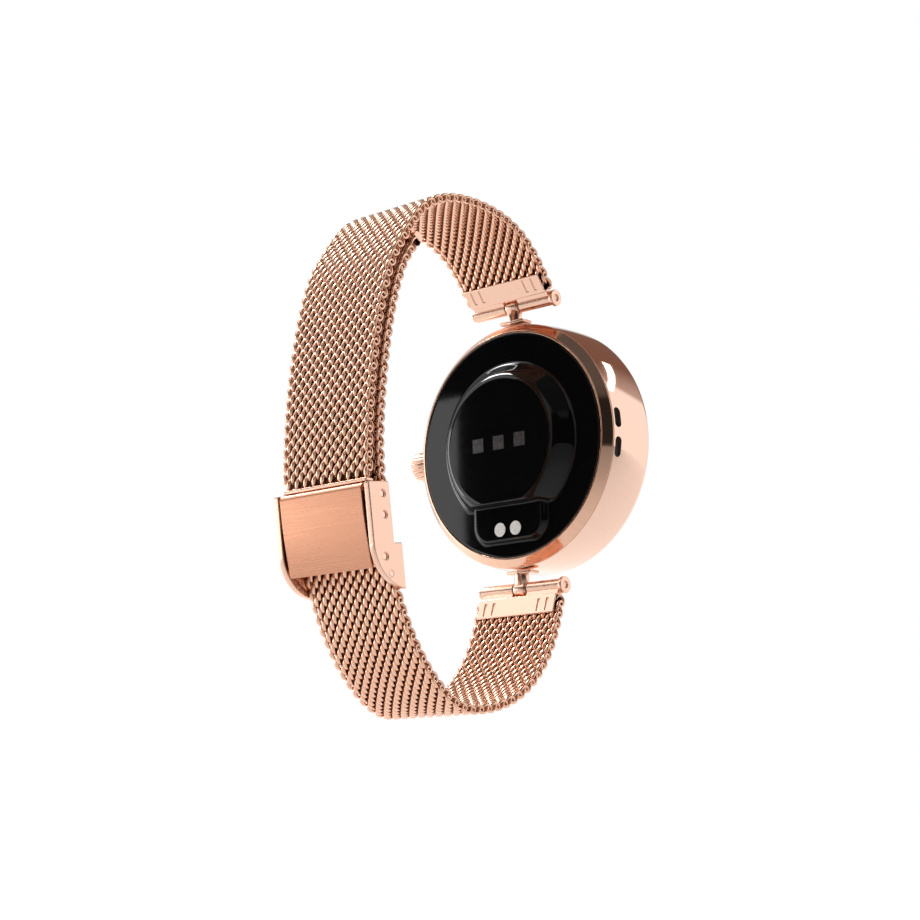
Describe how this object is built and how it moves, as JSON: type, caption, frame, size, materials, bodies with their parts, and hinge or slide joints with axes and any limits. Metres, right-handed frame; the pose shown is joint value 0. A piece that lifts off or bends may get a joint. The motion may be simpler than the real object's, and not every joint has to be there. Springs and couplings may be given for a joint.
{
  "type": "smartwatch",
  "caption": "Round smartwatch with a domed optical sensor back, side crown and a woven metal mesh strap closed by a hooked fold-over clasp.",
  "frame": {"origin": "centre of the sensor dome's flat face, which rests on the wrist", "axes": "+Z towards 12 o'clock, +X towards 3 o'clock and the crown, +Y out of the back of the case into the strap loop"},
  "size_m": [0.0414, 0.0504, 0.0743],
  "materials": {
    "rose_gold_polished": "polished rose gold plating",
    "rose_gold_brushed": "satin brushed rose gold plating",
    "rose_gold_satin": "fine satin rose gold plating",
    "mesh_steel": "woven rose gold plated wire",
    "black_gloss": "piano black, high gloss",
    "sensor_window": "smoked clear window",
    "display_glass": "black-backed cover glass",
    "display": "dark display panel",
    "contact_metal": "nickel plated contact",
    "steel": "plain stainless steel",
    "tungsten": "sintered weight",
    "circuit_board": "solder-masked board",
    "electronics": "moulded component",
    "flex_cable": "polyimide film",
    "dark_plastic": "moulded black nylon",
    "seal_rubber": "soft black seal",
    "battery_foil": "aluminium laminate pouch"
  },
  "bodies": {
    "case": {"case_shell": "rose_gold_polished", "back_ring": "rose_gold_brushed", "back_cover": "black_gloss", "back_gasket": "seal_rubber", "sensor_windows": "sensor_window", "sensor_board": "circuit_board", "optical_sensors": "electronics", "light_shield": "dark_plastic", "charge_contacts": "contact_metal", "sensor_flex": "flex_cable", "inner_frame": "dark_plastic", "battery": "battery_foil", "battery_pad": "seal_rubber", "main_board": "circuit_board", "board_shield": "steel", "board_screws": "steel", "motor_can": "steel", "motor_shaft": "steel", "microphone": "electronics", "dust_mesh": "seal_rubber", "display_flex": "flex_cable", "bezel": "rose_gold_polished", "display_glass": "display_glass", "display_panel": "display", "display_gasket": "seal_rubber", "lug_12": "rose_gold_satin", "lug_6": "rose_gold_satin", "crown_tube": "steel", "crown_seals": "seal_rubber", "crown_switch": "electronics"},
    "motor": {"motor_rotor": "tungsten"},
    "crown_push": {"crown_stem": "steel", "crown_clip": "steel", "crown_spring": "steel"},
    "crown_turn": {"crown_wheel": "rose_gold_satin"},
    "strap_12": {"strap_12_clamp": "rose_gold_satin", "strap_12_pin": "rose_gold_satin", "strap_12_mesh": "mesh_steel", "strap_12_hook": "rose_gold_satin"},
    "strap_6": {"strap_6_clamp": "rose_gold_satin", "strap_6_pin": "rose_gold_satin", "strap_6_mesh": "mesh_steel", "strap_6_end_cap": "rose_gold_satin"},
    "clasp": {"clasp_body": "rose_gold_satin", "clasp_cross_pins": "rose_gold_polished", "clasp_lock_pin": "rose_gold_polished"},
    "clasp_lock": {"clasp_lock_plate": "rose_gold_brushed"},
    "clasp_flip": {"clasp_cover": "rose_gold_brushed"}
  },
  "joints": [
    {"name": "strap_12_swing", "type": "hinge", "parent": "case", "child": "strap_12", "pos_m": [0, -0.0049, 0.02175], "axis": [1, 0, 0], "range_deg": [0, 70]},
    {"name": "strap_6_swing", "type": "hinge", "parent": "case", "child": "strap_6", "pos_m": [0, -0.0049, -0.02175], "axis": [1, 0, 0], "range_deg": [-35, 0]},
    {"name": "clasp_slide", "type": "slide", "parent": "strap_6", "child": "clasp", "axis": [0, -0.1132, -0.9936], "range_m": [0, 0.0015]},
    {"name": "cover_flip", "type": "hinge", "parent": "clasp", "child": "clasp_flip", "pos_m": [0, 0.03681, -0.01204], "axis": [1, 0, 0], "range_deg": [0, 125]},
    {"name": "lock_tilt", "type": "hinge", "parent": "clasp", "child": "clasp_lock", "pos_m": [0, 0.03446, -0.021], "axis": [1, 0, 0], "range_deg": [-24, 0]},
    {"name": "crown_press", "type": "slide", "parent": "case", "child": "crown_push", "axis": [-1, 0, 0], "range_m": [0, 0.0004], "stiffness_N_per_m": 2000, "springref_m": -0.0002},
    {"name": "crown_spin", "type": "hinge", "parent": "crown_push", "child": "crown_turn", "pos_m": [0.0195, -0.007, 0], "axis": [1, 0, 0], "continuous": true},
    {"name": "motor_spin", "type": "hinge", "parent": "case", "child": "motor", "pos_m": [0, -0.0066, -0.0092], "axis": [0, 1, 0], "continuous": true}
  ],
  "couplings": [
    {"joint": "strap_6_swing", "follows": "strap_12_swing", "ratio": -0.5},
    {"joint": "lock_tilt", "follows": "cover_flip", "ratio": -0.17}
  ]
}
